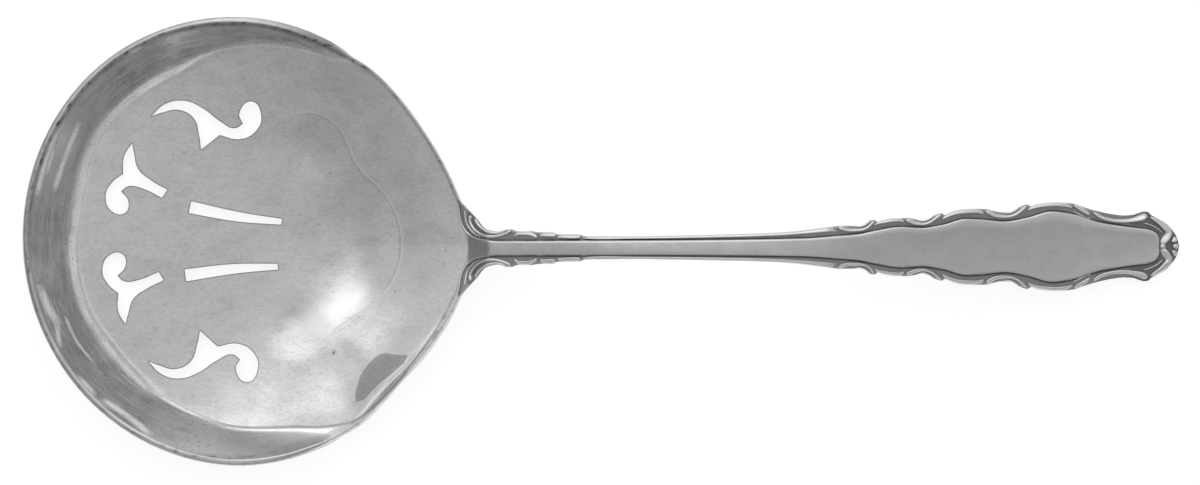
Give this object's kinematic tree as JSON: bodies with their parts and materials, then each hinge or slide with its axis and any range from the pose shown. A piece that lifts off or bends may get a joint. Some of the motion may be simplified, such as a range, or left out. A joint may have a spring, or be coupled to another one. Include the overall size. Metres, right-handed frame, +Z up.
{
  "type": "bonbon spoon",
  "caption": "Small silver serving spoon with a round pierced bowl, a lobed hollow at the heel and a slender arched handle that ends in a wide scroll-edged panel.",
  "frame": {"origin": "on the flat underside of the bowl's floor that the spoon rests on, on the handle's centre line", "axes": "+X along the handle from the bowl to the tip, +Y to the side, +Z up out of the bowl"},
  "size_m": [0.1207, 0.0471, 0.0101],
  "materials": {
    "polished_silver": "polished silver with fine wear scratches",
    "satin_silver": "satin silver, dark patina in the grooves",
    "silver_solder": "hard silver solder"
  },
  "bodies": {
    "root": {"bowl": "polished_silver", "handle": "satin_silver", "heel_solder": "silver_solder"}
  },
  "joints": []
}
